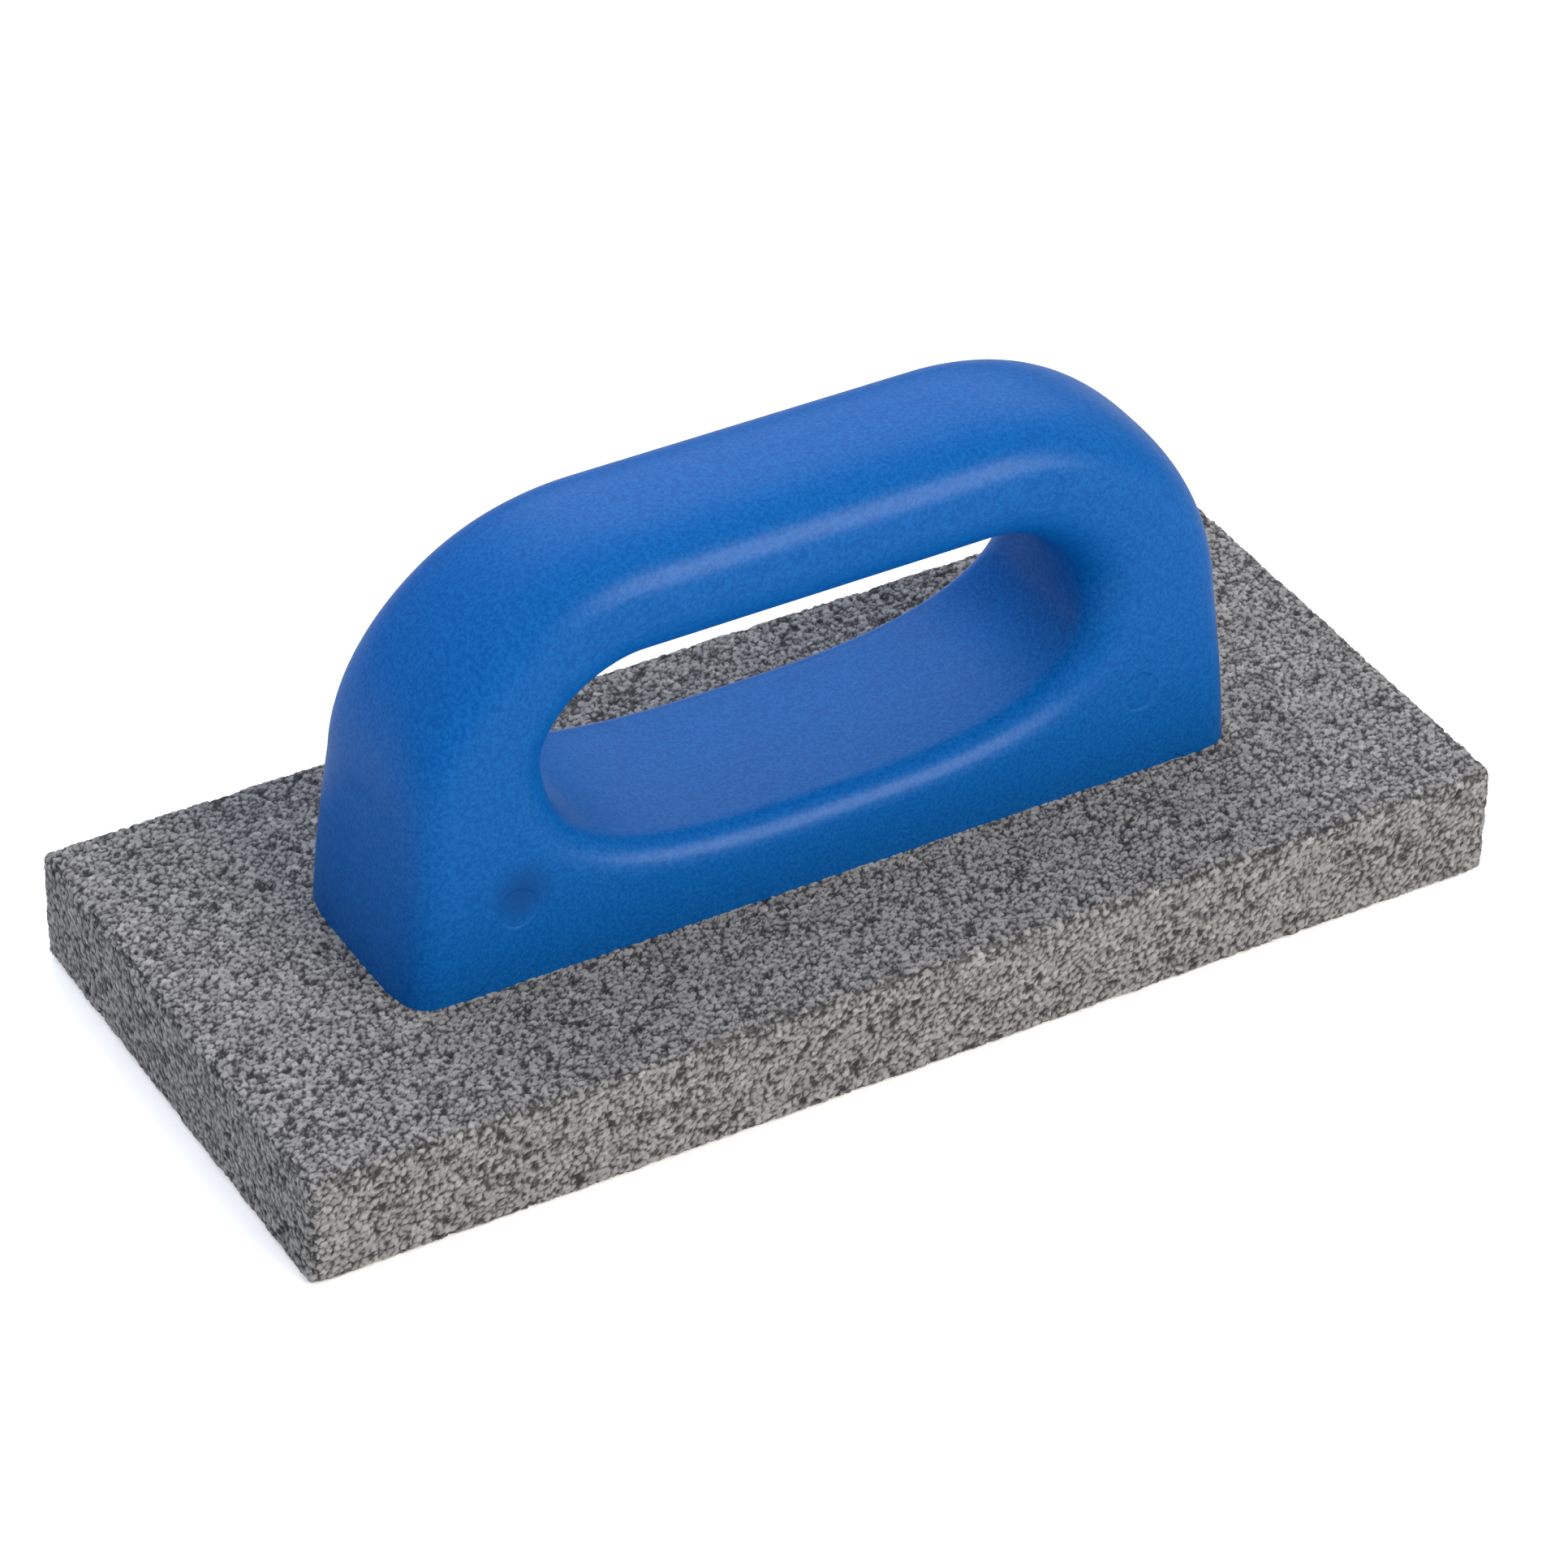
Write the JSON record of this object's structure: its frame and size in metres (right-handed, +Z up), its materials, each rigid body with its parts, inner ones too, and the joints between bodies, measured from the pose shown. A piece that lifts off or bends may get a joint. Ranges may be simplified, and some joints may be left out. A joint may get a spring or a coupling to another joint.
{
  "type": "rubbing brick with handle",
  "caption": "Coarse silicon carbide rubbing brick for dressing set concrete, with a loop plastic handle bonded on top.",
  "frame": {"origin": "centre of the brick's underside, the rubbing face", "axes": "+X along the brick, +Y across it, +Z up towards the handle"},
  "size_m": [0.2032, 0.0888, 0.0847],
  "materials": {
    "abrasive": "coarse open grit, vitrified bond",
    "handle_plastic": "satin moulded, blue",
    "adhesive": "cured two-part epoxy, hidden"
  },
  "bodies": {
    "root": {"abrasive_brick": "abrasive", "handle": "handle_plastic", "adhesive_bed": "adhesive"}
  },
  "joints": []
}
